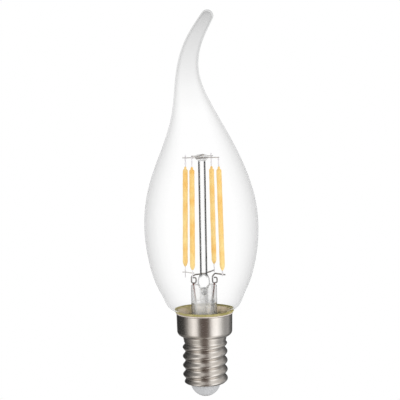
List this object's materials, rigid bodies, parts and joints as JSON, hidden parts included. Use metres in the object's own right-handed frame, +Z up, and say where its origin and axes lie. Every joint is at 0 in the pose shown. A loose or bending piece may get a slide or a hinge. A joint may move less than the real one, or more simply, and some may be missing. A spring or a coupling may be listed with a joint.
{
  "type": "candle bulb",
  "caption": "Clear candle bulb with a bent flame tip, upright light sticks on a pinched glass stem, and a small screw cap that holds the driver.",
  "frame": {"origin": "lowest point of the centre contact, on the screw cap's axis", "axes": "+Z up the cap's axis towards the glass tip, +X the side that the tip ends towards, -Y the front"},
  "size_m": [0.035, 0.035, 0.1188],
  "materials": {
    "nickel_shell": "bright nickel plate on thin brass sheet",
    "insulator": "matt pale grey",
    "contact": "dull tin-plated brass",
    "clear_glass": "clear blown soda-lime glass",
    "stem_glass": "clear pressed glass",
    "cement": "hardened olive brown cap cement",
    "nickel_wire": "drawn nickel wire and strip",
    "copper_clad_wire": "oxidised copper cladding",
    "tinned_wire": "tinned copper wire",
    "stick_phosphor": "yellow phosphor coat",
    "sleeve_paper": "brown insulating paper",
    "board": "green solder mask",
    "chip_package": "black moulding",
    "chip_resistor": "black glazed chip",
    "capacitor_can": "dark sleeved can",
    "resistor_coat": "grey-green cement coat"
  },
  "bodies": {
    "root": {"screw_shell": "nickel_shell", "insulator": "insulator", "centre_contact": "contact", "glass_envelope": "clear_glass", "glass_stem": "stem_glass", "exhaust_tube": "stem_glass", "glass_column": "stem_glass", "cement_ring": "cement", "top_wire_front_right": "nickel_wire", "top_wire_front_left": "nickel_wire", "jumper_wire": "nickel_wire", "left_inner_lead": "nickel_wire", "right_inner_lead": "nickel_wire", "top_pin_front_right": "nickel_wire", "top_pin_back_right": "nickel_wire", "top_pin_back_left": "nickel_wire", "top_pin_front_left": "nickel_wire", "foot_pin_front_right": "nickel_wire", "foot_pin_back_right": "nickel_wire", "foot_pin_back_left": "nickel_wire", "foot_pin_front_left": "nickel_wire", "left_seal_wire": "copper_clad_wire", "right_seal_wire": "copper_clad_wire", "left_outer_lead": "tinned_wire", "right_outer_lead": "tinned_wire", "shell_wire": "tinned_wire", "light_stick_front_right": "stick_phosphor", "light_stick_back_right": "stick_phosphor", "light_stick_back_left": "stick_phosphor", "light_stick_front_left": "stick_phosphor", "insulating_sleeve": "sleeve_paper", "driver_board": "board", "bridge_rectifier": "chip_package", "driver_chip": "chip_package", "sense_resistors": "chip_resistor", "smoothing_capacitor": "capacitor_can", "fusible_resistor": "resistor_coat"}
  },
  "joints": []
}
